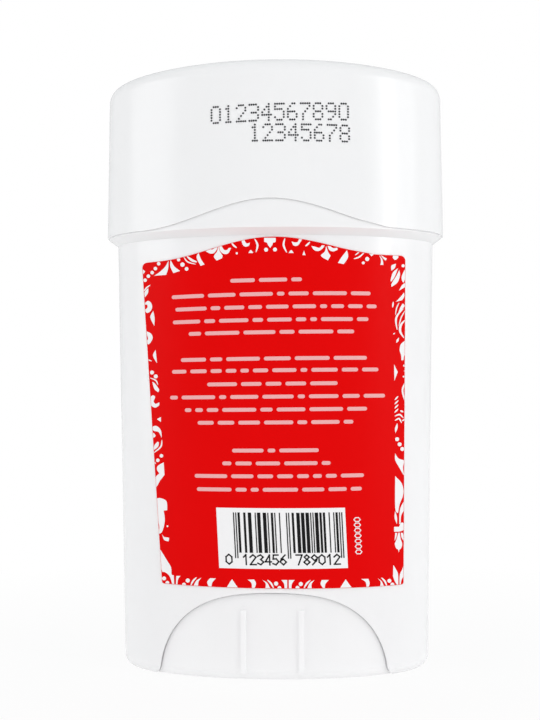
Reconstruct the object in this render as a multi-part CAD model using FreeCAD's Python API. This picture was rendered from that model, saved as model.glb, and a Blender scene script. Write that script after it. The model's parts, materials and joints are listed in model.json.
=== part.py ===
import FreeCAD, Part
import math
import os

from FreeCAD import Vector

# A twist-up stick in an oval pack: a body with a dial in its foot, a screw that lifts the
# stick, and a cap that pulls off. Millimetres, +Z up, origin at the centre of the foot.
# +X runs along the oval, and -Y is the labelled face.

# Body walls, as half sizes of the oval at the foot and where the collar starts
foot_half_width = 28.95
foot_half_depth = 15.0
top_half_width = 30.1
top_half_depth = 15.9
foot_round = 2.3
body_wall = 1.5
bore_draft = 0.4
neck_height = 12.2
neck_edge_round = 0.3

# Collar that the cap lands on, and the wave that its top shares with the cap's rim
collar_height = 80.0
flare_height = 1.2
collar_recess = 0.35
collar_land = 0.3
wave_rise = 4.8
wave_half_span = 23.5

# Cap
overall_height = 112.0
cap_overhang = 2.0
cap_wall = 1.6
cap_draft = 0.55
cap_crown_radius = 248.0
cap_edge_round = 3.2
cap_inner_round = 1.8
neck_clearance = 0.35

# Dial: a round drum with a rolled top, seen through a window in each broad face
window_radius = 23.3
window_height = 16.5
dial_flat_radius = 13.0
dial_gap = 0.3
dial_recess = 0.35
dial_lift = 0.3
dial_wall = 2.0
dial_web_count = 4
dial_web = 1.2
hub_radius = 6.5
hub_lift = 2.0
grip_offset = 5.2
grip_width = 0.9
grip_low = 1.5
grip_high = 13.0

# Screw
thread_pitch = 5.0
thread_core_radius = 3.0
thread_height = 1.2
ridge_root_width = 1.8
ridge_crest_width = 1.0
thread_clearance = 0.3
travel_turns = 12
journal_radius = 4.0
journal_clearance = 0.06
flange_radius = 6.0
flange_thickness = 1.2
key_across_flats = 6.0
key_length = 11.0
tip_length = 2.0

# Elevator
piston_clearance = 0.35
elevator_gap = 1.0
skirt_depth = 5.0
skirt_wall = 1.2
plate_thickness = 1.6
boss_wall = 2.4
boss_rise = 8.0
fin_thickness = 1.2
fin_length = 17.0
fin_depth_length = 10.5
lug_turn = 0.3

# Stick of product
stick_gap = 0.35
stick_top = 99.0
stick_crown_radius = 64.0
stick_edge_round = 3.0

# Label on the -Y face: its left edge leans, and its top arches like the cap's rim
label_thickness = 0.15
label_glue = 0.03
label_foot = 16.95
label_shoulder = 76.35
label_rise = 3.3
label_half_span = 21.0
label_left_top = 24.1
label_left_foot = 20.35
label_right_top = 24.3
label_right_foot = 23.8
label_top_slope = 0.02
label_foot_slope = -0.008
label_top_corner = 0.9
label_foot_corner = 0.4

# Sizes that follow from the ones above
cap_rim = collar_height + flare_height + collar_land
neck_top = cap_rim + neck_height
dial_top = window_height - dial_gap
deck_top = window_height + body_wall
flange_top = deck_top + flange_thickness
thread_start = flange_top + thread_height
thread_radius = thread_core_radius + thread_height
screw_bore_radius = thread_radius + thread_clearance
elevator_low = deck_top + elevator_gap
plate_low = elevator_low + skirt_depth
plate_top = plate_low + plate_thickness
lift_travel = travel_turns * thread_pitch
lug_start = thread_start + thread_pitch / 2
thread_end = lug_start + thread_pitch + lift_travel
reach = 2 * (top_half_width + cap_overhang)


def oval(z, half_width, half_depth):
    """Oval wire lying at height z."""
    ring = Part.Ellipse(Vector(0, 0, z), half_width, half_depth)
    return Part.Wire(ring.toShape())


def oval_block(low, high):
    """Solid between two ovals, each given as height, half width and half depth."""
    return Part.makeLoft([oval(*low), oval(*high)], True, True)


def body_oval(z, grow):
    """The body's outer oval at height z, grown by an offset."""
    share = z / collar_height
    half_width = foot_half_width + share * (top_half_width - foot_half_width)
    half_depth = foot_half_depth + share * (top_half_depth - foot_half_depth)
    return z, half_width + grow, half_depth + grow


def bore_oval(z, grow):
    """The stick's bore in the body, which opens a little towards the neck."""
    widen = bore_draft * z / neck_top + grow - body_wall
    return z, foot_half_width + widen, foot_half_depth + widen


def cap_oval(z, grow):
    """The cap's outer oval at height z, grown by an offset."""
    draft = cap_draft * (z - cap_rim) / (overall_height - cap_rim)
    offset = cap_overhang + grow - draft
    return z, top_half_width + offset, top_half_depth + offset


def body_block(low, high, grow):
    return oval_block(body_oval(low, grow), body_oval(high, grow))


def bore_block(low, high, grow):
    return oval_block(bore_oval(low, grow), bore_oval(high, grow))


def cap_block(low, high, grow):
    return oval_block(cap_oval(low, grow), cap_oval(high, grow))


def foot_form(grow):
    """The body's outer form up to the collar, with its foot edge rounded."""
    block = body_block(0, collar_height, grow)
    foot_edges = [edge for edge in block.Edges if edge.BoundBox.ZMax < 0.1]
    return block.makeFillet(foot_round, foot_edges)


def crowned(block, top, radius, edge_round):
    """A block cut off by a shallow dome whose highest point is at top, its edge rounded."""
    ball = Part.makeSphere(radius, Vector(0, 0, top - radius))
    domed = block.common(ball)
    dome_faces = [face for face in domed.Faces if face.Surface.TypeId == "Part::GeomSphere"]
    dome_edges = [edge for face in dome_faces for edge in face.Edges if edge.Length > radius / 100]
    return domed.makeFillet(edge_round, dome_edges)


def bell(x, half_span):
    """Height of a smooth bell, 1 at the middle and 0 from half_span outwards."""
    if abs(x) >= half_span:
        return 0.0
    return math.cos(math.pi * x / (2 * half_span)) ** 2


def bell_curve(height, rise, half_span, slope=0.0):
    """Edge that follows the bell in the XZ plane, on a base line of a given slope."""
    steps = 12
    points = []
    for step in range(steps + 1):
        x = half_span * (2 * step / steps - 1)
        points.append(Vector(x, 0, height + slope * x + rise * bell(x, half_span)))
    along = Vector(1, 0, slope)
    curve = Part.BSplineCurve()
    curve.interpolate(Points=points, InitialTangent=along, FinalTangent=along)
    return curve.toShape()


def prism(edges):
    """Solid through the whole part along Y, from a closed outline in the XZ plane."""
    face = Part.Face(Part.Wire(edges))
    face.translate(Vector(0, -reach, 0))
    return face.extrude(Vector(0, 2 * reach, 0))


def corner_lines(points):
    """Straight edges through a list of x and z pairs."""
    line = Part.makePolygon([Vector(x, 0, z) for x, z in points])
    return line.Edges


def under_wave(height, floor):
    """Block under the wavy surface that arches up across the broad faces."""
    side = [
        (wave_half_span, height),
        (reach, height),
        (reach, floor),
        (-reach, floor),
        (-reach, height),
        (-wave_half_span, height),
    ]
    return prism([bell_curve(height, wave_rise, wave_half_span)] + corner_lines(side))


def drum(grow):
    """Round form with a flat top that rolls over to an upright rim, grown by an offset."""
    rim = window_radius + grow
    top = window_height + grow
    roll = Part.Ellipse(Vector(dial_flat_radius, 0, top), Vector(rim, 0, 0), Vector(dial_flat_radius, 0, 0))
    roll_edge = Part.ArcOfEllipse(roll, 0, math.pi / 2).toShape()
    side = [(rim, 0), (rim, -1), (0, -1), (0, top), (dial_flat_radius, top)]
    profile = Part.Face(Part.Wire([roll_edge] + corner_lines(side)))
    return profile.revolve(Vector(0, 0, 0), Vector(0, 0, 1), 360)


def rod(radius, low, high):
    """Upright cylinder on the screw's axis."""
    return Part.makeCylinder(radius, high - low, Vector(0, 0, low))


def slab(x_centre, thickness, low, high, y_low, y_high):
    """Upright plate across the X axis."""
    corner = Vector(x_centre - thickness / 2, y_low, low)
    return Part.makeBox(thickness, y_high - y_low, high - low, corner)


def radial_web(thickness, length, low, high, angle):
    """Upright plate from the screw's axis outwards at an angle."""
    web = Part.makeBox(length, thickness, high - low, Vector(0, -thickness / 2, low))
    web.rotate(Vector(0, 0, 0), Vector(0, 0, 1), angle)
    return web


def hex_rod(across_flats, low, high):
    """Upright six-sided bar on the screw's axis."""
    radius = across_flats / math.sqrt(3)
    corners = [Vector(radius, 0, low)]
    for side in range(1, 7):
        angle = side * math.pi / 3
        corners.append(Vector(radius * math.cos(angle), radius * math.sin(angle), low))
    return Part.Face(Part.makePolygon(corners)).extrude(Vector(0, 0, high - low))


def helix_sweep(profile_points, start, height):
    """Solid swept along the thread's helix from the +X side, from points of radius and height."""
    path = Part.makeHelix(thread_pitch, height, thread_core_radius)
    outline = [Vector(radius, 0, z) for radius, z in profile_points]
    profile = Part.makePolygon(outline + outline[:1])
    solid = Part.Wire(path).makePipeShell([profile], True, True)
    solid.translate(Vector(0, 0, start))
    return solid


def make_container():
    walls = foot_form(0)
    flare_top = collar_height + flare_height
    wave_top = cap_rim + wave_rise
    walls = walls.fuse(oval_block(body_oval(collar_height, 0), cap_oval(flare_top, -collar_recess)))
    walls = walls.fuse(cap_block(flare_top, wave_top, -collar_recess).common(under_wave(cap_rim, 0)))
    neck = cap_block(flare_top, neck_top, -cap_wall - neck_clearance)
    neck_edges = [edge for edge in neck.Edges if edge.BoundBox.ZMin > neck_top - 0.1]
    walls = walls.fuse(neck.makeFillet(neck_edge_round, neck_edges))
    stick_room = bore_block(body_wall, neck_top + 1, 0).cut(drum(body_wall))
    container = walls.cut(stick_room).cut(drum(0))
    container = container.cut(rod(journal_radius + journal_clearance, 0, deck_top + 1))
    return container.removeSplitter()


def make_cap():
    outside = cap_block(cap_rim, overall_height + 1, 0)
    outside = crowned(outside, overall_height, cap_crown_radius, cap_edge_round)
    inside = cap_block(cap_rim - 1, overall_height, -cap_wall)
    inside = crowned(inside, overall_height - cap_wall, cap_crown_radius, cap_inner_round)
    return outside.cut(inside).cut(under_wave(cap_rim, 0))


def make_spindle():
    spindle = rod(thread_core_radius, deck_top, thread_end)
    tip = Part.makeCone(thread_core_radius, thread_core_radius / 2, tip_length, Vector(0, 0, thread_end))
    ridge_profile = [
        (thread_core_radius - 0.3, -ridge_root_width / 2),
        (thread_core_radius - 0.3, ridge_root_width / 2),
        (thread_radius, ridge_crest_width / 2),
        (thread_radius, -ridge_crest_width / 2),
    ]
    ridge = helix_sweep(ridge_profile, thread_start, thread_end - thread_start - ridge_root_width)
    spindle = spindle.fuse(tip).fuse(ridge)
    spindle = spindle.fuse(rod(flange_radius, deck_top, flange_top))
    spindle = spindle.fuse(rod(journal_radius, dial_top, deck_top))
    return spindle.fuse(hex_rod(key_across_flats, dial_top - key_length, dial_top))


def make_dial():
    dial = drum(-dial_gap).common(foot_form(-dial_recess)).cut(rod(reach, -1, dial_lift))
    hollow = drum(-dial_gap - dial_wall).common(foot_form(-dial_recess - dial_wall))
    dial = dial.cut(hollow)
    core = rod(hub_radius, hub_lift, dial_top)
    for web in range(dial_web_count):
        angle = 360 * (web + 0.5) / dial_web_count
        core = core.fuse(radial_web(dial_web, window_radius, hub_lift, dial_top, angle))
    dial = dial.fuse(core.common(hollow))
    for side in (-1, 1):
        grip = slab(side * grip_offset, grip_width, grip_low, grip_high, -reach, reach)
        skin = foot_form(0).cut(foot_form(-dial_recess - dial_wall / 2))
        dial = dial.fuse(skin.common(grip))
    return dial.cut(hex_rod(key_across_flats, 0, window_height)).removeSplitter()


def make_elevator():
    skirt = bore_block(elevator_low, plate_top, -piston_clearance)
    skirt = skirt.cut(bore_block(elevator_low - 1, plate_low, -piston_clearance - skirt_wall))
    boss_radius = screw_bore_radius + boss_wall
    boss_low = flange_top + thread_clearance
    boss_top = plate_top + boss_rise
    elevator = skirt.fuse(rod(boss_radius, boss_low, boss_top))
    for angle, length in ((0, fin_length), (90, fin_depth_length), (180, fin_length), (270, fin_depth_length)):
        elevator = elevator.fuse(radial_web(fin_thickness, length, plate_low, boss_top, angle))
    elevator = elevator.cut(rod(screw_bore_radius, 0, overall_height))
    root_half = (thread_pitch - ridge_root_width) / 2 - thread_clearance
    crest_half = (thread_pitch - ridge_crest_width) / 2 - thread_clearance
    lug_profile = [
        (thread_core_radius + thread_clearance, -root_half),
        (thread_core_radius + thread_clearance, root_half),
        (screw_bore_radius + boss_wall / 4, crest_half),
        (screw_bore_radius + boss_wall / 4, -crest_half),
    ]
    for half_turn in (0, 1):
        lug = helix_sweep(lug_profile, 0, lug_turn * thread_pitch)
        lug.rotate(Vector(0, 0, 0), Vector(0, 0, 1), 180 * half_turn)
        lug.translate(Vector(0, 0, lug_start + half_turn * thread_pitch / 2))
        elevator = elevator.fuse(lug)
    return elevator


def make_stick(elevator):
    stick = bore_block(plate_top, stick_top + 1, -stick_gap)
    stick = crowned(stick, stick_top, stick_crown_radius, stick_edge_round)
    hollow = rod(screw_bore_radius, plate_low, thread_end + tip_length + thread_clearance)
    return stick.cut(hollow).cut(elevator)


def label_top_point(x):
    return x, label_shoulder + label_top_slope * x


def label_foot_point(x):
    return x, label_foot + label_foot_slope * x


def make_label():
    sheet = body_block(0, collar_height, label_thickness)
    sheet = sheet.cut(body_block(-1, collar_height + 1, label_glue))
    panel_corners = [
        label_foot_point(-label_left_foot),
        label_foot_point(label_right_foot),
        label_top_point(label_right_top),
        label_top_point(-label_left_top),
        label_foot_point(-label_left_foot),
    ]
    panel = prism(corner_lines(panel_corners))
    middle = (label_foot + label_shoulder) / 2
    for radius, side in ((label_top_corner, 1), (label_foot_corner, -1)):
        corners = [edge for edge in panel.Edges if edge.BoundBox.YLength > reach]
        corners = [edge for edge in corners if side * (edge.CenterOfMass.z - middle) > 0]
        panel = panel.makeFillet(radius, corners)
    hump_line = corner_lines([label_top_point(label_half_span), label_top_point(-label_half_span)])
    hump = prism([bell_curve(label_shoulder, label_rise, label_half_span, label_top_slope)] + hump_line)
    near_side = Part.makeBox(2 * reach, reach, overall_height, Vector(-reach, -reach, 0))
    return sheet.common(near_side).common(panel.fuse(hump)).removeSplitter()


def export(name, shape):
    shape.exportStep("parts/" + name + ".step")
    print(name, shape.isValid(), len(shape.Solids), round(shape.Volume / 1000, 2), "cm3")


def main():
    os.makedirs("parts", exist_ok=True)
    elevator = make_elevator()
    export("container", make_container())
    export("back_label", make_label())
    export("cap", make_cap())
    export("dial", make_dial())
    export("screw_spindle", make_spindle())
    export("elevator", elevator)
    export("wax_stick", make_stick(elevator))


main()
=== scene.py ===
import json
import math
import random

import bmesh
import bpy
from mathutils import Matrix, Vector


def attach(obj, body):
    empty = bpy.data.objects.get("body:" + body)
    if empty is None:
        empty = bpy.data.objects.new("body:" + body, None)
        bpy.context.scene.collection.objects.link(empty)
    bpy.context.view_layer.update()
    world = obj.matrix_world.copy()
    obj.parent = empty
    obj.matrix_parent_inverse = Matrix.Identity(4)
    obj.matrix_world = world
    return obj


# A twist-up stick in an oval pack of milky plastic, with a red printed label on its -Y face.
# Metres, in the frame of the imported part: +Z up, origin at the centre of the foot.

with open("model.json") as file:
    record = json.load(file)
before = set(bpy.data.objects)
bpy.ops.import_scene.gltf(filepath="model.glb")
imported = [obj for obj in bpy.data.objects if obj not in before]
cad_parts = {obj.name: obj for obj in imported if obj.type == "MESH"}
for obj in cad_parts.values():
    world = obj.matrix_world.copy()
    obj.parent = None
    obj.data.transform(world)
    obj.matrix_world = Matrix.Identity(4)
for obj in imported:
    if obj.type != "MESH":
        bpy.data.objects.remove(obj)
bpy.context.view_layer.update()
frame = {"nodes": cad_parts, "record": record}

MM = 0.001

# Camera, as found from the outlines in the photograph. It is 540 by 720 pixels.
PHOTO_WIDTH = 540
PHOTO_HEIGHT = 720
CAMERA_DISTANCE = 216.6 * MM
CAMERA_HEIGHT = 51.1 * MM
CAMERA_AZIMUTH = math.radians(2.5)
CAMERA_ROLL = math.radians(0.184)
FOCAL_PIXELS = 1127.8
CENTRE_X = 275.25
HORIZON_Y = 397.2
SENSOR_WIDTH = 36.0
CLIP_START = 0.01

# Outer ovals, which the print follows
FOOT_HALF_WIDTH = 28.95 * MM
FOOT_HALF_DEPTH = 15.0 * MM
TOP_HALF_WIDTH = 30.1 * MM
TOP_HALF_DEPTH = 15.9 * MM
COLLAR_HEIGHT = 80.0 * MM
LABEL_THICKNESS = 0.15 * MM
PRINT_LIFT = 0.02 * MM
PRINT_STEP = 0.9 * MM


# Camera

def camera_axes():
    """Right, up and backward directions of the camera."""
    right = Vector((math.cos(CAMERA_AZIMUTH), math.sin(CAMERA_AZIMUTH), 0))
    up = Vector((0, 0, 1))
    back = Vector((math.sin(CAMERA_AZIMUTH), -math.cos(CAMERA_AZIMUTH), 0))
    turn = math.cos(CAMERA_ROLL)
    lean = math.sin(CAMERA_ROLL)
    return turn * right - lean * up, turn * up + lean * right, back


def camera_place():
    return Vector((CAMERA_DISTANCE * math.sin(CAMERA_AZIMUTH),
                   -CAMERA_DISTANCE * math.cos(CAMERA_AZIMUTH),
                   CAMERA_HEIGHT))


def make_camera():
    data = bpy.data.cameras.new("camera")
    camera = bpy.data.objects.new("camera", data)
    bpy.context.scene.collection.objects.link(camera)
    data.sensor_fit = "HORIZONTAL"
    data.sensor_width = SENSOR_WIDTH
    data.lens = FOCAL_PIXELS * SENSOR_WIDTH / PHOTO_WIDTH
    data.shift_x = (PHOTO_WIDTH / 2 - CENTRE_X) / PHOTO_WIDTH
    data.shift_y = (HORIZON_Y - PHOTO_HEIGHT / 2) / PHOTO_WIDTH
    data.clip_start = CLIP_START
    right, up, back = camera_axes()
    turn = Matrix((right, up, back)).transposed().to_4x4()
    camera.matrix_world = Matrix.Translation(camera_place()) @ turn
    bpy.context.scene.camera = camera


def body_half_sizes(z):
    """Half width and half depth of the label's outer surface at height z."""
    share = z / COLLAR_HEIGHT
    half_width = FOOT_HALF_WIDTH + share * (TOP_HALF_WIDTH - FOOT_HALF_WIDTH) + LABEL_THICKNESS
    half_depth = FOOT_HALF_DEPTH + share * (TOP_HALF_DEPTH - FOOT_HALF_DEPTH) + LABEL_THICKNESS
    return half_width, half_depth


make_camera()


# Floor, backdrop and lights. The floor glows to near white for the camera, less so close to the pack,
# and lights the pack from below with a weaker share.

FLOOR_REACH = 3.0
FLOOR_ALBEDO = 0.9
FLOOR_GLOW_NEAR = 0.9
FLOOR_GLOW_FAR = 1.0
FLOOR_GLOW_ON_PACK = 0.5
GLOW_NEAR_RADIUS = 0.03
GLOW_FAR_RADIUS = 0.14
AMBIENT_COLOUR = (0.97, 0.985, 1, 1)
AMBIENT_STRENGTH = 0.65
LAMP_AIM_HEIGHT = 0.056

# Name, azimuth in degrees, height, distance, width, upright size and power of each softbox
SOFTBOXES = (
    ("strip_right", 56, 0.2, 1.0, 0.07, 0.9, 1.4),
    ("key_right", 64, 0.4, 1.1, 0.7, 0.9, 2.75),
    ("key_left", -66, 0.4, 1.1, 0.7, 0.9, 3.2),
    ("front_fill", 8, 0.7, 1.3, 1.0, 0.7, 0.6),
)


def link(obj):
    bpy.context.scene.collection.objects.link(obj)
    return obj


def new_material(name):
    material = bpy.data.materials.new(name)
    material.use_nodes = True
    nodes = material.node_tree.nodes
    return material, nodes, material.node_tree.links, nodes["Principled BSDF"]


def make_floor():
    mesh = bpy.data.meshes.new("floor")
    corners = [(FLOOR_REACH * x, FLOOR_REACH * y, 0) for x, y in ((-1, -1), (1, -1), (1, 1), (-1, 1))]
    mesh.from_pydata(corners, [], [(0, 1, 2, 3)])
    floor = link(bpy.data.objects.new("floor", mesh))
    material, nodes, links, shader = new_material("white_floor")
    shader.inputs["Base Color"].default_value = (FLOOR_ALBEDO, FLOOR_ALBEDO, FLOOR_ALBEDO, 1)
    shader.inputs["Roughness"].default_value = 0.9
    shader.inputs["Specular IOR Level"].default_value = 0.0
    glow = nodes.new("ShaderNodeEmission")
    glow.inputs["Strength"].default_value = 1.0
    mix = nodes.new("ShaderNodeMixShader")
    path = nodes.new("ShaderNodeLightPath")
    share = nodes.new("ShaderNodeMix")
    share.inputs["A"].default_value = FLOOR_GLOW_ON_PACK
    links.new(path.outputs["Is Camera Ray"], share.inputs["Factor"])
    place = nodes.new("ShaderNodeTexCoord")
    away = nodes.new("ShaderNodeVectorMath")
    away.operation = "LENGTH"
    links.new(place.outputs["Object"], away.inputs[0])
    fade = nodes.new("ShaderNodeMapRange")
    fade.inputs["From Min"].default_value = GLOW_NEAR_RADIUS
    fade.inputs["From Max"].default_value = GLOW_FAR_RADIUS
    fade.inputs["To Min"].default_value = FLOOR_GLOW_NEAR
    fade.inputs["To Max"].default_value = FLOOR_GLOW_FAR
    links.new(away.outputs["Value"], fade.inputs["Value"])
    links.new(fade.outputs["Result"], share.inputs["B"])
    links.new(share.outputs["Result"], mix.inputs[0])
    links.new(shader.outputs[0], mix.inputs[1])
    links.new(glow.outputs[0], mix.inputs[2])
    links.new(mix.outputs[0], nodes["Material Output"].inputs[0])
    mesh.materials.append(material)


def make_world():
    """White as seen by the camera, and a soft ambient light for the rest."""
    world = bpy.data.worlds.new("studio")
    bpy.context.scene.world = world
    bpy.context.scene.view_settings.view_transform = "Standard"
    world.use_nodes = True
    nodes = world.node_tree.nodes
    links = world.node_tree.links
    seen = nodes["Background"]
    seen.inputs["Color"].default_value = (1, 1, 1, 1)
    seen.inputs["Strength"].default_value = 1.0
    ambient = nodes.new("ShaderNodeBackground")
    ambient.inputs["Color"].default_value = AMBIENT_COLOUR
    ambient.inputs["Strength"].default_value = AMBIENT_STRENGTH
    path = nodes.new("ShaderNodeLightPath")
    either = nodes.new("ShaderNodeMath")
    either.operation = "MAXIMUM"
    links.new(path.outputs["Is Camera Ray"], either.inputs[0])
    links.new(path.outputs["Is Transmission Ray"], either.inputs[1])
    mix = nodes.new("ShaderNodeMixShader")
    links.new(either.outputs[0], mix.inputs[0])
    links.new(ambient.outputs[0], mix.inputs[1])
    links.new(seen.outputs[0], mix.inputs[2])
    links.new(mix.outputs[0], nodes["World Output"].inputs[0])


def soft_light(name, azimuth, height, distance, width, tall, power):
    """Upright softbox around the part, at an angle from the -Y direction towards +X."""
    data = bpy.data.lights.new(name, "AREA")
    data.shape = "RECTANGLE"
    data.size = width
    data.size_y = tall
    data.energy = power
    lamp = link(bpy.data.objects.new(name, data))
    turn = math.radians(azimuth)
    place = Vector((distance * math.sin(turn), -distance * math.cos(turn), height))
    lamp.location = place
    target = Vector((0, 0, LAMP_AIM_HEIGHT))
    lamp.rotation_euler = (target - place).to_track_quat("-Z", "Y").to_euler()


make_floor()
make_world()
for softbox in SOFTBOXES:
    soft_light(*softbox)


# Materials. A noise's scale is in cycles a metre, and a bump's depth in metres.

NOISE_LOW = 0.15
NOISE_HIGH = 0.85


def mottle(nodes, links, scale, detail, low, high):
    """Soft cloudy value over the surface, between two limits."""
    place = nodes.new("ShaderNodeTexCoord")
    noise = nodes.new("ShaderNodeTexNoise")
    noise.inputs["Scale"].default_value = scale
    noise.inputs["Detail"].default_value = detail
    spread = nodes.new("ShaderNodeMapRange")
    spread.inputs["From Min"].default_value = NOISE_LOW
    spread.inputs["From Max"].default_value = NOISE_HIGH
    spread.inputs["To Min"].default_value = low
    spread.inputs["To Max"].default_value = high
    links.new(place.outputs["Object"], noise.inputs["Vector"])
    links.new(noise.outputs["Fac"], spread.inputs["Value"])
    return spread.outputs["Result"]


def tint(nodes, links, value, first, second):
    """Colour between two colours by a value."""
    mix = nodes.new("ShaderNodeMix")
    mix.data_type = "RGBA"
    links.new(value, mix.inputs["Factor"])
    mix.inputs["A"].default_value = (*first, 1)
    mix.inputs["B"].default_value = (*second, 1)
    return mix.outputs["Result"]


def add_bump(nodes, links, shader, value, depth):
    bump = nodes.new("ShaderNodeBump")
    bump.inputs["Strength"].default_value = 1.0
    bump.inputs["Distance"].default_value = depth
    links.new(value, bump.inputs["Height"])
    links.new(bump.outputs["Normal"], shader.inputs["Normal"])


def milky_plastic(name, first, second, roughness, depth):
    """Milky natural plastic, a little cloudy, in which light spreads to a depth in millimetres."""
    material, nodes, links, shader = new_material(name)
    cloud = mottle(nodes, links, scale=40, detail=2, low=0, high=1)
    links.new(tint(nodes, links, cloud, first, second), shader.inputs["Base Color"])
    sheen = mottle(nodes, links, scale=70, detail=2, low=roughness - 0.03, high=roughness + 0.04)
    links.new(sheen, shader.inputs["Roughness"])
    shader.inputs["IOR"].default_value = 1.49
    shader.inputs["Subsurface Weight"].default_value = 0.7
    shader.inputs["Subsurface Radius"].default_value = (1.0, 1.0, 1.0)
    shader.inputs["Subsurface Scale"].default_value = depth * MM
    return material


def wax_material():
    """Slightly warm wax with a fine grain."""
    material, nodes, links, shader = new_material("wax_white")
    cloud = mottle(nodes, links, scale=90, detail=4, low=0, high=1)
    colour = tint(nodes, links, cloud, (0.9, 0.885, 0.85), (0.86, 0.845, 0.81))
    links.new(colour, shader.inputs["Base Color"])
    sheen = mottle(nodes, links, scale=500, detail=4, low=0.42, high=0.6)
    links.new(sheen, shader.inputs["Roughness"])
    shader.inputs["Subsurface Weight"].default_value = 0.3
    shader.inputs["Subsurface Radius"].default_value = (1.0, 0.9, 0.8)
    shader.inputs["Subsurface Scale"].default_value = 1.5 * MM
    grain = mottle(nodes, links, scale=300, detail=5, low=0, high=1)
    add_bump(nodes, links, shader, grain, 0.05 * MM)
    return material


def film_material(name, first, second, roughness, gloss):
    """Printed film, with a little unevenness in its ink."""
    material, nodes, links, shader = new_material(name)
    cloud = mottle(nodes, links, scale=160, detail=5, low=0, high=1)
    links.new(tint(nodes, links, cloud, first, second), shader.inputs["Base Color"])
    sheen = mottle(nodes, links, scale=700, detail=3, low=roughness - 0.05, high=roughness + 0.06)
    links.new(sheen, shader.inputs["Roughness"])
    shader.inputs["Specular IOR Level"].default_value = gloss
    ripple = mottle(nodes, links, scale=220, detail=3, low=0, high=1)
    add_bump(nodes, links, shader, ripple, 0.012 * MM)
    return material


# The two ends of each colour, the roughness, and the depth in millimetres that light spreads to
MATERIALS = {
    "cap_plastic": milky_plastic(
        "cap_plastic", (0.937, 0.937, 0.942), (0.922, 0.923, 0.93), 0.2, 0.4),
    "body_plastic": milky_plastic(
        "body_plastic", (0.939, 0.935, 0.945), (0.924, 0.92, 0.932), 0.2, 0.4),
    "dial_plastic": milky_plastic(
        "dial_plastic", (0.972, 0.968, 0.977), (0.957, 0.953, 0.964), 0.2, 2.0),
    "inner_plastic": milky_plastic(
        "inner_plastic", (0.95, 0.95, 0.95), (0.93, 0.93, 0.93), 0.4, 2.0),
    "wax": wax_material(),
    "label_film": film_material(
        "label_red", (0.795, 0.001, 0.0015), (0.765, 0.001, 0.001), 0.36, 0.04),
}


def dress_nodes():
    """Gives each solid the material that its record names."""
    slots = {row["node"]: row["material_slot"] for row in frame["record"]["subparts"]}
    for name, node in frame["nodes"].items():
        node.data.materials.clear()
        node.data.materials.append(MATERIALS[slots[name]])


dress_nodes()


# Print on the curved faces. Flat outlines in X and Z are cut into strips and laid on the oval.

LABEL_FOOT = 16.95 * MM
LABEL_SHOULDER = 76.35 * MM
LABEL_RISE = 3.3 * MM
LABEL_HALF_SPAN = 21.0 * MM
LABEL_LEFT_TOP = 24.1 * MM
LABEL_LEFT_FOOT = 20.35 * MM
LABEL_RIGHT_TOP = 24.3 * MM
LABEL_RIGHT_FOOT = 23.8 * MM
LABEL_TOP_SLOPE = 0.02
LABEL_FOOT_SLOPE = -0.008
EDGE_MARGIN = 0.06 * MM
CAP_RIM = 81.5 * MM
CAP_TOP = 112.0 * MM
CAP_OVERHANG = 2.0 * MM
CAP_DRAFT = 0.55 * MM
HEIGHT_ROUNDS = 4
CURVE_STEPS = 5
BRUSH_STEPS = 6
BRUSH_END = 0.3
TOUCHING = 1e-7


def cap_half_sizes(z):
    """Half width and half depth of the cap's outside at height z."""
    offset = CAP_OVERHANG - CAP_DRAFT * (z - CAP_RIM) / (CAP_TOP - CAP_RIM)
    return TOP_HALF_WIDTH + offset, TOP_HALF_DEPTH + offset


def seen_at(pixel_x, pixel_y, half_sizes):
    """X and Z of the place on an oval face that a pixel of the photograph shows."""
    right, up, back = camera_axes()
    across = (pixel_x - CENTRE_X) / FOCAL_PIXELS
    rise = (HORIZON_Y - pixel_y) / FOCAL_PIXELS
    ray = right * across + up * rise - back
    eye = camera_place()
    height = eye.z
    for _ in range(HEIGHT_ROUNDS):
        half_width, half_depth = half_sizes(height)
        a = (ray.x / half_width) ** 2 + (ray.y / half_depth) ** 2
        b = eye.x * ray.x / half_width ** 2 + eye.y * ray.y / half_depth ** 2
        c = (eye.x / half_width) ** 2 + (eye.y / half_depth) ** 2 - 1
        reach = (-b - math.sqrt(max(b * b - a * c, 0))) / a
        height = eye.z + reach * ray.z
    return eye.x + reach * ray.x, height


def smooth_side(points):
    """Points along a smooth open curve through the given ones, without the last one."""
    if len(points) == 2:
        return points[:1]
    ends = [points[0]] + points + [points[-1]]
    curve = []
    for before, start, end, after in zip(ends, ends[1:], ends[2:], ends[3:]):
        for step in range(CURVE_STEPS):
            t = step / CURVE_STEPS
            curve.append(tuple(
                0.5 * (2 * q + (r - p) * t + (2 * p - 5 * q + 4 * r - s) * t ** 2
                       + (3 * q - p - 3 * r + s) * t ** 3)
                for p, q, r, s in zip(before, start, end, after)))
    return curve


def outline(sides):
    """Closed outline of smooth sides. Each starts at a corner and ends where the next starts."""
    points = []
    for side, following in zip(sides, sides[1:] + sides[:1]):
        points += smooth_side(list(side) + [following[0]])
    return points


def disc(x, y, radius, steps=14):
    turns = [2 * math.pi * step / steps for step in range(steps)]
    return [(x + radius * math.cos(turn), y + radius * math.sin(turn)) for turn in turns]


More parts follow.
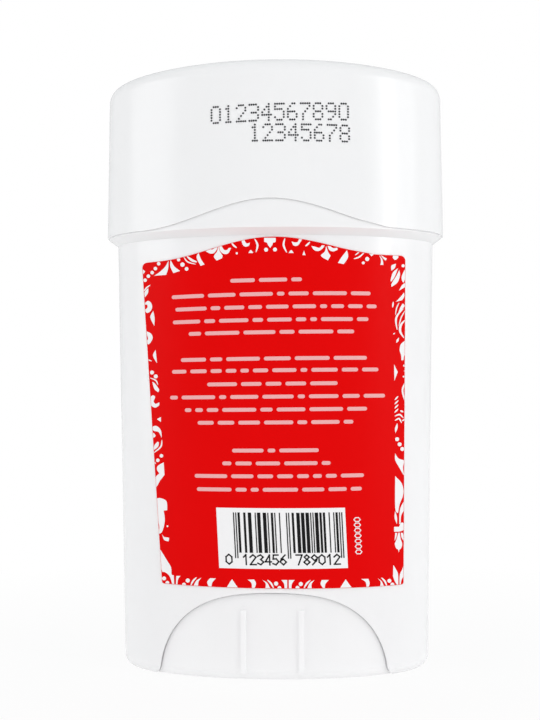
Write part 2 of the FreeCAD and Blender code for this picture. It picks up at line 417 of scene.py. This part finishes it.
def brush_line(points, width):
    """Outline of a line that tapers to both ends."""
    middle = smooth_side(points) if len(points) > 2 else [
        tuple(p + (q - p) * step / BRUSH_STEPS for p, q in zip(*points)) for step in range(BRUSH_STEPS)]
    middle.append(points[-1])
    near, far = [], []
    last = len(middle) - 1
    for index, (x, y) in enumerate(middle):
        before = middle[max(index - 1, 0)]
        after = middle[min(index + 1, last)]
        along = math.hypot(after[0] - before[0], after[1] - before[1])
        half = width / 2 * (BRUSH_END + (1 - BRUSH_END) * math.sin(math.pi * index / last))
        across_x = -(after[1] - before[1]) / along * half
        across_y = (after[0] - before[0]) / along * half
        near.append((x + across_x, y + across_y))
        far.append((x - across_x, y - across_y))
    return near + far[::-1]


def add_outline(mesh, points):
    """Adds a flat filled outline, given in X and Z, to a bmesh."""
    vertices = [mesh.verts.new((x, 0, z)) for x, z in points]
    edges = [mesh.edges.new(pair) for pair in zip(vertices, vertices[1:] + vertices[:1])]
    bmesh.ops.triangle_fill(mesh, edges=edges, use_beauty=True)


def label_limits(x, z):
    """Nearest place inside the label's edges."""
    share = (z - LABEL_FOOT) / (LABEL_SHOULDER - LABEL_FOOT)
    left = -LABEL_LEFT_FOOT - share * (LABEL_LEFT_TOP - LABEL_LEFT_FOOT) + EDGE_MARGIN
    right = LABEL_RIGHT_FOOT + share * (LABEL_RIGHT_TOP - LABEL_RIGHT_FOOT) - EDGE_MARGIN
    x = min(max(x, left), right)
    bell = math.cos(math.pi * x / (2 * LABEL_HALF_SPAN)) ** 2 if abs(x) < LABEL_HALF_SPAN else 0
    top = LABEL_SHOULDER + LABEL_TOP_SLOPE * x + LABEL_RISE * bell - EDGE_MARGIN
    foot = LABEL_FOOT + LABEL_FOOT_SLOPE * x + EDGE_MARGIN
    return x, min(max(z, foot), top)


def lay_print(name, mesh, body, material, half_sizes, lift, limits=None):
    """Cuts a flat print into strips, lays it on an oval face, and makes it a piece."""
    reach = max(abs(vertex.co.x) for vertex in mesh.verts)
    steps = int(reach / PRINT_STEP) + 1
    for step in range(-steps, steps + 1):
        everything = mesh.verts[:] + mesh.edges[:] + mesh.faces[:]
        place = (step * PRINT_STEP, 0, 0)
        bmesh.ops.bisect_plane(mesh, geom=everything, plane_co=place, plane_no=(1, 0, 0))
    for vertex in mesh.verts:
        x, _, z = vertex.co
        if limits:
            x, z = limits(x, z)
        half_width, half_depth = half_sizes(z)
        share = x / (half_width + lift)
        vertex.co = (x, -(half_depth + lift) * math.sqrt(1 - share * share), z)
    bmesh.ops.dissolve_degenerate(mesh, dist=TOUCHING, edges=mesh.edges[:])
    bmesh.ops.recalc_face_normals(mesh, faces=mesh.faces[:])
    for face in mesh.faces:
        if face.normal.y > 0:
            face.normal_flip()
    data = bpy.data.meshes.new(name)
    mesh.to_mesh(data)
    mesh.free()
    data.materials.append(material)
    piece = link(bpy.data.objects.new(name, data))
    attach(piece, body)


# The label's ornament, a traditional scroll and fleur border, as places in the photograph's pixels.
# A dot is x, y and radius. A leaf is a list of sides, each from its corner on. A stroke is
# its points and its width.

TOP_DOTS = [
    (145.1, 280.2, 1.8), (148.4, 276.2, 1.8), (152.2, 272.6, 1.8), (155.4, 268.6, 1.8), (158.7, 263.7, 1.8),
    (178.6, 259.7, 1.7), (182.5, 264.6, 2.2), (186.6, 268.9, 1.9), (236.8, 253.3, 1.1),
    (266.1, 249.7, 2.0), (275.0, 249.5, 2.0), (363.3, 262.9, 1.5), (367.2, 259.0, 2.1),
]
TOP_LEAVES = [
    [[(168.5, 260.6), (165.4, 266.4), (160, 271.8)], [(154.2, 275.8)], [(166.1, 274.9), (168.2, 268.2)]],
    [[(170.5, 259.7), (170.3, 266.4)], [(173.4, 273.1)], [(180.1, 270.9), (174.3, 266.4)]],
    [[(198.6, 253), (196.6, 257.5)], [(200.6, 265.9)], [(204.6, 264.4), (201.1, 259.3)]],
    [[(205.4, 250.9), (209.4, 253.3), (213.6, 253.3), (216.7, 249.7)], [(217.9, 246.1)],
     [(215.5, 246.7), (212.4, 249.5)],
     [(208.2, 248.5)]],
    [[(218.5, 244.8), (217.3, 250.9), (213.9, 256.4)], [(216.7, 260.6)], [(222.1, 258.2)],
     [(222.7, 255.8), (219.7, 250.9)]],
    [[(219.1, 245.5), (220.3, 250.9), (223.9, 253.9), (228.2, 253.3)], [(231.2, 247.9)],
     [(228.8, 247.9), (227, 249.9), (223.9, 249.7), (220.9, 244.8)]],
    [[(241.5, 240.6), (243, 245.1), (245.8, 246.7), (249, 245.5)],
     [(249.8, 242.7), (247.6, 243.4), (245.8, 242.7)],
     [(244.5, 239.8)]],
    [[(248.4, 253), (250.8, 250)], [(253.3, 253)]],
    [[(264.2, 237.8)], [(264.2, 241.8), (267, 242.7)], [(267.8, 244.8)], [(270.2, 247.9)], [(272.4, 244.8)],
     [(273, 242.7), (275.5, 241.8)], [(275.7, 237.8)]],
    [[(288.6, 253), (291.2, 250)], [(293.7, 253)]],
    [[(304, 250.6)], [(302.4, 255)], [(305.5, 255.2)]],
    [[(291.6, 241.5), (293.5, 245.4), (297.5, 245.6), (300.6, 241.8)], [(302.2, 238.9)],
     [(299, 239.2), (297.6, 242)],
     [(294.6, 242.4)]],
    [[(311.5, 246), (314, 250), (318.6, 251), (322.8, 248.4)], [(324.6, 245.4)],
     [(321.8, 245.2), (319.4, 247.8)],
     [(315, 246.6)]],
    [[(326.2, 245.9), (324.7, 251.6), (320.9, 255.8)], [(327.9, 260.4)], [(330.6, 255.8), (328, 251.6)]],
    [[(327.5, 245.9), (329.6, 250.2), (333.4, 251.4), (337.6, 249.6)],
     [(336.9, 247.6), (333.4, 248.2), (330.4, 246.4)]],
    [[(347, 250.2), (341.4, 257.4)], [(337.9, 262.9)], [(343.8, 264.1), (348.1, 257)]],
    [[(379, 255), (381, 260)], [(380.4, 264.9)], [(383.4, 264.9), (382.4, 259.4)]],
    [[(380.6, 255), (383, 258.2), (385.4, 260.4)], [(386.9, 258.6), (384, 257)]],
    [[(142, 269)], [(142, 275), (145, 271.7)]],
    [[(369, 252)], [(371.5, 256.4)], [(374, 252.4)]],
    [[(393, 255.2)], [(392.8, 257.9), (395.3, 260), (398.2, 257.7)], [(398.2, 255.4)]],
]
TOP_STROKES = [
    ([(183.7, 257), (187.7, 261.9), (195.7, 264.2)], 1.3),
    ([(186.8, 256.1), (192, 260.3), (197, 262)], 2.4),
    ([(231.4, 242.7), (234, 245.8), (236.8, 247.8)], 1.8),
    ([(254.6, 238.7), (257.5, 245), (256, 252.1)], 2.0),
    ([(284.9, 238.4), (283.6, 245.2), (286.8, 252.5)], 2.0),
    ([(309.9, 242), (307.4, 244.6), (305.3, 246.1)], 1.8),
    ([(355.1, 255.2), (359.2, 252)], 1.2),
    ([(353.8, 258.8), (359.2, 257), (364.2, 252.5)], 1.6),
]

RIGHT_DOTS = [
    (403.1, 265.8, 1.6), (397.1, 439.2, 2.0), (399.6, 444.3, 2.0), (402.3, 449, 2.0),
    (404.2, 365.6, 1.1), (405, 371, 1.0), (403.6, 376.6, 0.9),
]
RIGHT_LEAVES = [
    [[(395.9, 263.8), (391.4, 265.6)], [(391.4, 270.6), (394.8, 268)]],
    [[(398, 268.2), (393, 272.4), (390.6, 280)], [(391.2, 281.6), (394.6, 277)]],
    [[(399.2, 270), (396, 276.5), (391.6, 283.6)], [(391.4, 286.9), (397.4, 282.6), (400, 275)]],
    [[(404.6, 269.5), (401.5, 277.4), (403.4, 282.5), (405.6, 276)]],
    [[(399, 290.6), (402, 285.2)], [(405.8, 282.5)], [(405.8, 287)]],
    [[(395.8, 301.8), (400.4, 297)], [(403.9, 292.5), (404.4, 296)], [(402.4, 300), (399, 301)]],
    [[(402.8, 303.4), (400, 308)], [(397.8, 314.8)], [(401, 310.4), (404.6, 306)]],
    [[(399, 337.4), (396.6, 340)], [(396.4, 343)], [(398.6, 341)]],
    [[(405.8, 340.2), (401, 344), (399.6, 350), (401, 355)], [(401.4, 360.2)],
     [(403.4, 360.2), (404.2, 355.6)],
     [(405.8, 354)]],
    [[(394.1, 364.4)], [(397.7, 372)], [(394.4, 380.7)]],
    [[(397.4, 423), (395, 428)], [(395.4, 433), (397.6, 428)]],
    [[(395.2, 453.4), (398.5, 458.4)], [(404.5, 460.3), (403, 468)],
     [(404.5, 476.5), (399.6, 468.2), (395.2, 460)]],
    [[(395.2, 476.1), (401.8, 483.6), (403.4, 493.5), (399.6, 504.4)], [(398, 513.2), (395.2, 507.7)]],
    [[(404.4, 500.6), (400.8, 507), (399.4, 514)], [(399.3, 524.1)], [(400.6, 524.1), (401.2, 515.4)],
     [(404.4, 510)]],
    [[(395, 511), (397, 517)], [(396.9, 524.2), (394.6, 518)]],
    [[(394.1, 526.8)], [(399, 526.8), (401.4, 522.6)], [(404.4, 523.4)], [(404.4, 529.6), (400, 531.4)],
     [(394.1, 531.7)]],
    [[(395.2, 532.8)], [(397.3, 533), (396.2, 537.5)], [(394.6, 541)]],
    [[(400.8, 532.8), (401.6, 537.5)], [(404, 541.5)], [(404, 536), (402.6, 533)]],
    [[(398.4, 532.8), (396.6, 539)], [(394.6, 543.8), (396, 548), (398, 549.6)], [(398.7, 552.3)],
     [(399.4, 549.6), (401.2, 548), (402.2, 543.8)], [(400.6, 539), (399.6, 532.8)]],
    [[(393.3, 565)], [(393, 576), (394.6, 580.8)], [(396.9, 584.8)],
     [(398.3, 584.8), (398, 574), (395.5, 568.5)]],
    [[(403.9, 564.3), (402.3, 569), (399.8, 575)], [(399.5, 584.5)], [(400.8, 584.6), (401.5, 580)],
     [(403.9, 575.6)]],
]
RIGHT_STROKES = [
    ([(399.1, 302.8), (396.6, 308), (395.4, 315)], 1.2),
    ([(403.4, 308.6), (397.6, 315), (395.9, 321), (397.2, 329.8)], 2.0),
    ([(405, 310.6), (401, 318), (398.9, 326)], 1.2),
    ([(405.4, 319.8), (400.9, 325), (400.2, 331.4), (403.9, 337.9)], 2.4),
    ([(393.3, 301.8), (392.6, 307.6)], 1.6),
    ([(405.8, 381.8), (402.5, 389.9), (404.7, 400.8)], 1.8),
    ([(393.2, 334.2), (395, 333)], 1.2),
    ([(400.2, 410.6), (403.4, 412)], 1.8),
    ([(394.8, 416.2), (399.6, 414.6), (403.4, 418)], 1.6),
    ([(395, 420.6), (399, 418.6), (401.6, 423)], 1.6),
    ([(402, 421), (405, 419)], 1.4),
    ([(394.7, 400), (398.2, 396.2)], 1.5),
    ([(394.6, 404.2), (398.3, 400.4)], 1.5),
    ([(394.6, 408.4), (398.3, 404.6)], 1.5),
    ([(394.6, 412.6), (398.3, 408.8)], 1.5),
]

LEFT_DOTS = [
    (152, 372.5, 2.0), (155.8, 376.4, 2.0), (161.4, 455.8, 1.8), (157.8, 460.3, 1.8), (167.5, 526.2, 0.9),
]
LEFT_LEAVES = [
    [[(148.3, 288), (144.6, 292)], [(144.9, 297.4), (148, 293)]],
    [[(145, 303.2), (147.9, 300.8), (151, 302.8), (152.2, 306.8), (150.6, 311), (147, 312.9)],
     [(143.9, 309.4), (145.9, 309.2), (147.6, 307), (147, 304.6)], [(145.6, 305)]],
    [[(153.3, 310.9), (150.3, 317.1)], [(154.3, 326), (154.6, 318)]],
    [[(145.4, 331), (150.8, 333.4), (152.6, 338.4), (148.8, 344.3)], [(145.4, 341.8), (148, 338.6)]],
    [[(155.6, 349.9), (153, 355.7)], [(157, 363.3), (156.3, 356)]],
    [[(146, 367)], [(148.8, 369)], [(147, 372)]],
    [[(152.3, 381.8), (155, 383.6), (159, 389.4)], [(158.2, 392.2), (154.4, 389)]],
    [[(149.8, 397.6), (152.8, 395.3), (155, 396.6)],
     [(154.6, 398.9), (153.6, 401.4), (155.4, 403.8), (157.6, 403.2)],
     [(159.2, 402.2), (159, 405.4), (155.1, 407.6), (151, 405.6)], [(149.8, 403.6)]],
    [[(160.9, 416.9)], [(160.9, 421.9)], [(156.9, 419.2)]],
    [[(151.3, 427.3), (156.2, 425.8), (160.9, 430.3)], [(161.7, 438), (158.7, 432.2), (153.8, 430.8)]],
    [[(153, 450.6), (154.6, 445), (157.6, 441.8)], [(158.9, 442.6), (158.4, 446), (156, 448.6)]],
    [[(153.6, 432.6), (155.6, 435.8)], [(153.4, 438), (152.4, 436)]],
    [[(163.7, 462.3)], [(164.5, 474.8)], [(160, 480.6), (155.6, 487.8)], [(154.6, 479), (156.6, 475.8)],
     [(159.4, 473.4), (157, 469.6), (157.9, 465.8)]],
    [[(155.8, 498.6), (160.5, 498.1), (166.5, 501.3)], [(167.2, 510.2)],
     [(163.7, 510.6), (164.8, 520.9), (162.1, 531.7)],
     [(158.3, 533.9), (159.4, 527), (157.2, 516), (156.4, 504)]],
    [[(162.1, 534), (164.1, 536.9), (168.9, 537.9)], [(168.4, 541.3), (164.1, 539.8)]],
    [[(159.7, 548.5), (166.8, 560), (171, 567.3), (171.6, 574.3)], [(173.8, 575.2)], [(174.2, 584.9)],
     [(172.5, 584.9), (169.5, 576), (165, 572.2)], [(162.5, 572)], [(160.9, 569)]],
]
LEFT_STROKES = [
    ([(150.3, 285), (146.4, 288), (143.4, 291.9)], 1.4),
    ([(147.4, 359.6), (151.8, 361.1)], 1.1),
    ([(150, 377.9), (155.8, 380.4), (157.9, 384.8)], 1.3),
    ([(161.9, 440), (160.7, 446.8), (153.4, 453.1)], 1.5),
    ([(154.2, 461.6), (156, 464)], 1.0),
]
EYES = [
    (146.6, 338.2, 1.4),
]

FOOT_DOTS = [
    (164.1, 578.4, 2.0), (167.4, 582.8, 1.9), (187.8, 580.5, 2.1), (184, 584.7, 2.0), (276.1, 583.6, 2.1),
    (279.4, 588, 2.0), (300.8, 584, 2.1), (297.5, 587.8, 2.0), (389.4, 580.8, 2.0), (392.4, 584.6, 2.0),
]
FOOT_LEAVES = [
    [[(176.3, 575.9)], [(180.5, 575.9), (178, 579.5)], [(177.4, 585)], [(176, 585)]],
    [[(201.4, 577.8), (196.4, 580.6)], [(193.4, 586.4)], [(198.1, 586.4), (198.6, 581.6)]],
    [[(210.1, 578.2), (207.2, 582)], [(209, 587)], [(211.4, 587), (212.4, 582.4)], [(215.9, 578.4)]],
    [[(232.1, 579.1), (229.4, 583)], [(226.5, 588)], [(238.2, 588), (234.6, 583)]],
    [[(247.7, 579.7), (251.4, 583)], [(252, 588.4)], [(254.5, 588.4), (256, 583.4)], [(254.1, 579.5)]],
    [[(262.4, 579.9), (265.6, 583.6)], [(265.4, 588.8)], [(270.3, 588.8), (267.4, 583)]],
    [[(281.3, 580)], [(287.2, 580)], [(287.2, 588.4)], [(284.6, 588.4), (284, 583.6)]],
    [[(294.7, 580)], [(288.8, 580)], [(288.8, 588.4)], [(291.4, 588.4), (292, 583.6)]],
    [[(314.5, 580), (309.8, 583)], [(307.2, 588.8)], [(311.8, 588.8), (311.6, 584)]],
    [[(321.7, 580), (320.6, 584)], [(323.4, 588.6)], [(324.8, 588.6), (325.4, 584)], [(328.8, 580)]],
    [[(345.7, 579.2), (343, 583.4)], [(339.8, 588.4)], [(352.4, 588.4), (348.6, 583.4)]],
    [[(361.2, 579), (365.6, 582)], [(366.5, 587.6)], [(368.6, 587.6), (369.6, 583)], [(368.4, 578.8)]],
    [[(377.6, 578.1), (380.6, 582)], [(379.9, 587.2)], [(384.2, 587.2), (381.8, 581.6)]],
]
FOOT_STROKES = [
    ([(196.5, 577.4), (193, 581), (190.7, 585.7)], 1.8),
    ([(267.4, 579.9), (271.2, 583.6), (273.6, 588.2)], 1.8),
    ([(310.3, 580.2), (306.6, 583.8), (304, 588.2)], 1.8),
    ([(381.4, 577.7), (384.8, 581.2), (386.9, 586.1)], 1.8),
]


def on_label(points):
    return [seen_at(x, y, body_half_sizes) for x, y in points]


def add_motif(mesh, dots, leaves, strokes):
    """Adds a part of the ornament, all given in pixels, to a flat bmesh."""
    for dot in dots:
        add_outline(mesh, on_label(disc(*dot)))
    for leaf in leaves:
        add_outline(mesh, on_label(outline(leaf)))
    for points, width in strokes:
        add_outline(mesh, on_label(brush_line(points, width)))


def make_ornament():
    mesh = bmesh.new()
    add_motif(mesh, TOP_DOTS, TOP_LEAVES, TOP_STROKES)
    add_motif(mesh, RIGHT_DOTS, RIGHT_LEAVES, RIGHT_STROKES)
    add_motif(mesh, LEFT_DOTS, LEFT_LEAVES, LEFT_STROKES)
    add_motif(mesh, FOOT_DOTS, FOOT_LEAVES, FOOT_STROKES)
    lay_print("label_ornament", mesh, "container", INK_WHITE, body_half_sizes,
              PRINT_LIFT, label_limits)
    eyes = bmesh.new()
    add_motif(eyes, EYES, [], [])
    lay_print("ornament_eyes", eyes, "container", MATERIALS["label_film"], body_half_sizes,
              2 * PRINT_LIFT, label_limits)


# Lines of print as plain dashes, in millimetres: the height of each row and its two ends. The rows lean
# more the further they are from the level one.

PRINT_ROWS = [
    (72.0, -7.3, 5.5), (69.5, -18.2, 17.8), (67.2, -17.5, 18.9), (64.9, -18.0, 17.4), (62.7, -15.0, 14.8),
    (58.0, -16.5, 17.1), (55.9, -18.2, 19.2), (53.5, -11.6, 11.8), (51.2, -18.6, 20.4), (48.9, -15.8, 17.1),
    (46.6, -13.4, 14.6), (41.6, -7.1, 8.4), (39.3, -8.9, 10.5), (37.0, -14.0, 16.5), (34.6, -13.6, 16.1),
]
ROW_SLOPE = 0.0003
LEVEL_ROW = 30.3
DASH_HEIGHT = 0.68
DASH_GAP = 0.7
DASH_SHORTEST = 1.2
DASH_LONGEST = 6.4
END_STEPS = 6


def rounded_bar(left, right, low, high):
    """Outline of a bar with round ends."""
    radius = (high - low) / 2
    middle = (high + low) / 2
    points = []
    for centre, start in ((right - radius, -90), (left + radius, 90)):
        for step in range(END_STEPS + 1):
            turn = math.radians(start + 180 / END_STEPS * step)
            points.append((centre + radius * math.cos(turn), middle + radius * math.sin(turn)))
    return points


def in_metres(points):
    return [(x * MM, z * MM) for x, z in points]


def make_dashes():
    chance = random.Random(5)
    mesh = bmesh.new()
    for height, left, right in PRINT_ROWS:
        start = left
        while start < right - DASH_SHORTEST:
            end = min(start + chance.uniform(DASH_SHORTEST, DASH_LONGEST), right)
            if right - end < DASH_SHORTEST + DASH_GAP:
                end = right
            bar = rounded_bar(start, end, height - DASH_HEIGHT / 2, height + DASH_HEIGHT / 2)
            slope = ROW_SLOPE * (height - LEVEL_ROW)
            add_outline(mesh, in_metres([(x, z + slope * x) for x, z in bar]))
            start = end + DASH_GAP
    lay_print("label_dashes", mesh, "container", INK_PINK, body_half_sizes, PRINT_LIFT)


# Bar code with plain digits, in millimetres from its panel's lower left corner

PANEL_LEFT = -9.53
PANEL_LOW = 20.48
PANEL_WIDTH = 23.1
PANEL_HEIGHT = 10.85
PANEL_LEAN = 0.048
PANEL_SLOPE = -0.003
BARS_LEFT = 3.0
BARS_LOW = 2.85
BARS_HIGH = 10.05
GUARD_LOW = 1.85
BAR_MODULE = 0.206
DIGIT_HEIGHT = 1.75
DIGIT_PITCH = 1.35
DIGIT_LOW = 0.75
DIGIT_BAND_LEFT = (1.35, 4.35, 13.95)
DIGIT_BANDS = ("0", "123456", "789012")
SIDE_CODE = "0000000"
SIDE_CODE_X = 24.6
SIDE_CODE_TOP = 9.0
SIDE_CODE_HEIGHT = 1.15
SIDE_CODE_PITCH = 0.97
STROKE = 0.26
SIDE_STROKE = 0.6 * STROKE
GUARD_MODULES = 3
HALF_MODULES = 42
MIDDLE_MODULES = 5


def panel_place(x, z):
    """Place on the label, in metres, of a point on the leaning panel."""
    return (PANEL_LEFT + x - PANEL_LEAN * z) * MM, (PANEL_LOW + z + PANEL_SLOPE * x) * MM


def panel_box(left, right, low, high):
    return [panel_place(x, z) for x, z in ((left, low), (right, low), (right, high), (left, high))]


def bar_runs():
    """Left edge and width of each bar, in modules, and whether it is a guard. Chance sets the others."""
    chance = random.Random(11)
    runs = [(0, 1, True), (2, 1, True)]
    middle = GUARD_MODULES + HALF_MODULES
    for first in (GUARD_MODULES, middle + MIDDLE_MODULES):
        place = first + 1
        while place < first + HALF_MODULES - 1:
            wide = chance.choice((1, 1, 2, 2, 3))
            runs.append((place, min(wide, first + HALF_MODULES - place), False))
            place += wide + chance.choice((1, 1, 1, 2, 3))
    end = middle + MIDDLE_MODULES + HALF_MODULES
    return runs + [(middle + 1, 1, True), (middle + 3, 1, True), (end, 1, True), (end + 2, 1, True)]


# Strokes of the plain digits, in a box 1 high
DIGIT_STROKES = {
    "0": [[(0, 0.25), (0, 0.75), (0.3, 1), (0.6, 0.75), (0.6, 0.25), (0.3, 0), (0, 0.25)]],
    "1": [[(0.1, 0.75), (0.35, 1), (0.35, 0)]],
    "2": [[(0, 0.75), (0.3, 1), (0.6, 0.75), (0, 0), (0.6, 0)]],
    "3": [[(0, 0.85), (0.3, 1), (0.58, 0.77), (0.3, 0.53), (0.6, 0.28), (0.3, 0), (0, 0.15)]],
    "4": [[(0.45, 0), (0.45, 1), (0, 0.3), (0.62, 0.3)]],
    "5": [[(0.55, 1), (0.08, 1), (0.04, 0.58), (0.35, 0.62), (0.6, 0.32), (0.3, 0), (0, 0.12)]],
    "6": [[(0.5, 1), (0.1, 0.6), (0, 0.28), (0.3, 0), (0.6, 0.28), (0.3, 0.58), (0.04, 0.4)]],
    "7": [[(0, 1), (0.6, 1), (0.2, 0)]],
    "8": [[(0.3, 0.54), (0.05, 0.78), (0.3, 1), (0.55, 0.78), (0.3, 0.54), (0, 0.26), (0.3, 0), (0.6, 0.26),
           (0.3, 0.54)]],
    "9": [[(0.1, 0), (0.5, 0.4), (0.6, 0.72), (0.3, 1), (0, 0.72), (0.3, 0.42), (0.56, 0.6)]],
}


def stroke_boxes(points, width):
    """A box along each stretch of a broken line."""
    boxes = []
    for (x0, z0), (x1, z1) in zip(points, points[1:]):
        along = math.hypot(x1 - x0, z1 - z0)
        dx = (x1 - x0) / along * width / 2
        dz = (z1 - z0) / along * width / 2
        boxes.append([(x0 - dx - dz, z0 - dz + dx), (x0 - dx + dz, z0 - dz - dx),
                      (x1 + dx + dz, z1 + dz - dx), (x1 + dx - dz, z1 + dz + dx)])
    return boxes


def digit_boxes(digits, height, pitch, width):
    """Boxes that draw plain digits from the origin on, along X."""
    boxes = []
    for index, digit in enumerate(digits):
        for line in DIGIT_STROKES[digit]:
            scaled = [(index * pitch + x * height, z * height) for x, z in line]
            boxes += stroke_boxes(scaled, width)
    return boxes


def make_bar_code():
    panel = bmesh.new()
    add_outline(panel, panel_box(0, PANEL_WIDTH, 0, PANEL_HEIGHT))
    lay_print("bar_code_panel", panel, "container", INK_WHITE, body_half_sizes, PRINT_LIFT)
    bars = bmesh.new()
    for place, wide, guard in bar_runs():
        left = BARS_LEFT + place * BAR_MODULE
        low = GUARD_LOW if guard else BARS_LOW
        add_outline(bars, panel_box(left, left + wide * BAR_MODULE, low, BARS_HIGH))
    for band_left, digits in zip(DIGIT_BAND_LEFT, DIGIT_BANDS):
        for box in digit_boxes(digits, DIGIT_HEIGHT, DIGIT_PITCH, STROKE):
            add_outline(bars, [panel_place(band_left + x, DIGIT_LOW + z) for x, z in box])
    lay_print("bar_code_bars", bars, "container", INK_BLACK, body_half_sizes, 2 * PRINT_LIFT)
    side = bmesh.new()
    for box in digit_boxes(SIDE_CODE, SIDE_CODE_HEIGHT, SIDE_CODE_PITCH, SIDE_STROKE):
        add_outline(side, [panel_place(SIDE_CODE_X + z, SIDE_CODE_TOP - x) for x, z in box])
    lay_print("side_code", side, "container", INK_WHITE, body_half_sizes, PRINT_LIFT)


# Ink-jet code on the cap: plain digits of 5 by 7 dots, each line with its left end, top and slope

JET_DIGITS = {
    "0": ("01110", "10001", "10001", "10001", "10001", "10001", "01110"),
    "1": ("00100", "01100", "00100", "00100", "00100", "00100", "01110"),
    "2": ("01110", "10001", "00001", "00010", "00100", "01000", "11111"),
    "3": ("11110", "00001", "00001", "01110", "00001", "00001", "11110"),
    "4": ("00010", "00110", "01010", "10010", "11111", "00010", "00010"),
    "5": ("11111", "10000", "11110", "00001", "00001", "10001", "01110"),
    "6": ("00110", "01000", "10000", "11110", "10001", "10001", "01110"),
    "7": ("11111", "00001", "00010", "00100", "01000", "01000", "01000"),
    "8": ("01110", "10001", "10001", "01110", "10001", "10001", "01110"),
    "9": ("01110", "10001", "10001", "01111", "00001", "00010", "01100"),
}
JET_LINES = (("01234567890", -10.46, 102.87, 0.02), ("12345678", -3.47, 99.26, -0.001))
JET_CHARACTER_PITCH = 2.27
JET_COLUMN_PITCH = 0.385
JET_ROW_PITCH = 0.475
JET_DOT_RADIUS = 0.185
JET_DOT_SIDES = 8


def make_jet_code():
    mesh = bmesh.new()
    for digits, left, top, slope in JET_LINES:
        for index, digit in enumerate(digits):
            for row, dots in enumerate(JET_DIGITS[digit]):
                for column, dot in enumerate(dots):
                    if dot == "1":
                        x = left + index * JET_CHARACTER_PITCH + column * JET_COLUMN_PITCH
                        z = top + slope * x - row * JET_ROW_PITCH
                        add_outline(mesh, in_metres(disc(x, z, JET_DOT_RADIUS, JET_DOT_SIDES)))
    lay_print("cap_code", mesh, "cap", INK_JET, cap_half_sizes, PRINT_LIFT)


# Inks, each with the two ends of its colour, its roughness and its gloss
INK_WHITE = film_material("ink_white", (0.935, 0.93, 0.935), (0.915, 0.91, 0.915), 0.4, 0.1)
INK_PINK = film_material("ink_pink", (0.88, 0.46, 0.46), (0.85, 0.43, 0.43), 0.4, 0.1)
INK_BLACK = film_material("ink_black", (0.006, 0.006, 0.007), (0.01, 0.01, 0.011), 0.42, 0.1)
INK_JET = film_material("ink_jet", (0.03, 0.03, 0.035), (0.05, 0.05, 0.055), 0.6, 0.2)

make_ornament()
make_dashes()
make_bar_code()
make_jet_code()
